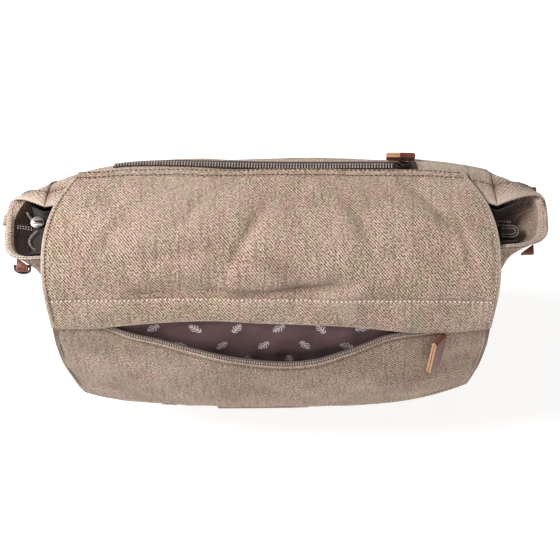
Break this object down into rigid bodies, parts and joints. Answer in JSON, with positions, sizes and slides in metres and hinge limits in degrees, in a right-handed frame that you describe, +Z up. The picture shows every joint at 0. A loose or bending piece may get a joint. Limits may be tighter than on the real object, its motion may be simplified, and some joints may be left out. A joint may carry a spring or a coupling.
{
  "type": "portfolio bag",
  "caption": "Washed-canvas portfolio bag with a deep zipped front flap, open side ears and leather tabs, standing upright.",
  "frame": {"origin": "middle of the flat underside", "axes": "+Z up, -Y towards the front flap, +X to the right seen from the front"},
  "size_m": [0.4662, 0.1788, 0.276],
  "materials": {
    "canvas": "matte washed canvas",
    "lining": "matte printed lining",
    "zip_cloth": "woven tape and moulded coil",
    "leather": "waxed, cut edges left pale",
    "dark_metal": "dark antique bronze",
    "nickel": "nickel",
    "hem_cloth": "matte folded canvas"
  },
  "bodies": {
    "root": {"front_panel": "canvas", "back_panel": "canvas", "gusset_left": "canvas", "gusset_right": "canvas", "base_panel": "canvas", "flap_upper": "canvas", "flap_pocket_panel": "canvas", "flap_lining": "lining", "main_zip_panel_front": "lining", "main_zip_panel_back": "lining", "flap_zip_tape_lower": "zip_cloth", "flap_zip_coil_lower": "zip_cloth", "flap_zip_tape_upper": "zip_cloth", "flap_zip_coil_upper": "zip_cloth", "back_zip_tape": "zip_cloth", "back_zip_coil": "zip_cloth", "main_zip_coil": "zip_cloth", "main_zip_end": "zip_cloth", "flap_zip_pull": "leather", "back_zip_pull": "leather", "ear_tab_left_front": "leather", "ear_tab_left_back": "leather", "ear_tab_right_front": "leather", "ear_tab_right_back": "leather", "flap_grab_tab": "leather", "closure_tab_left": "leather", "closure_tab_right": "leather", "flap_zip_slider": "dark_metal", "back_zip_slider": "dark_metal", "back_zip_ring": "dark_metal", "strap_ring_left": "dark_metal", "main_zip_slider": "nickel", "side_loop_left": "hem_cloth"}
  },
  "joints": []
}
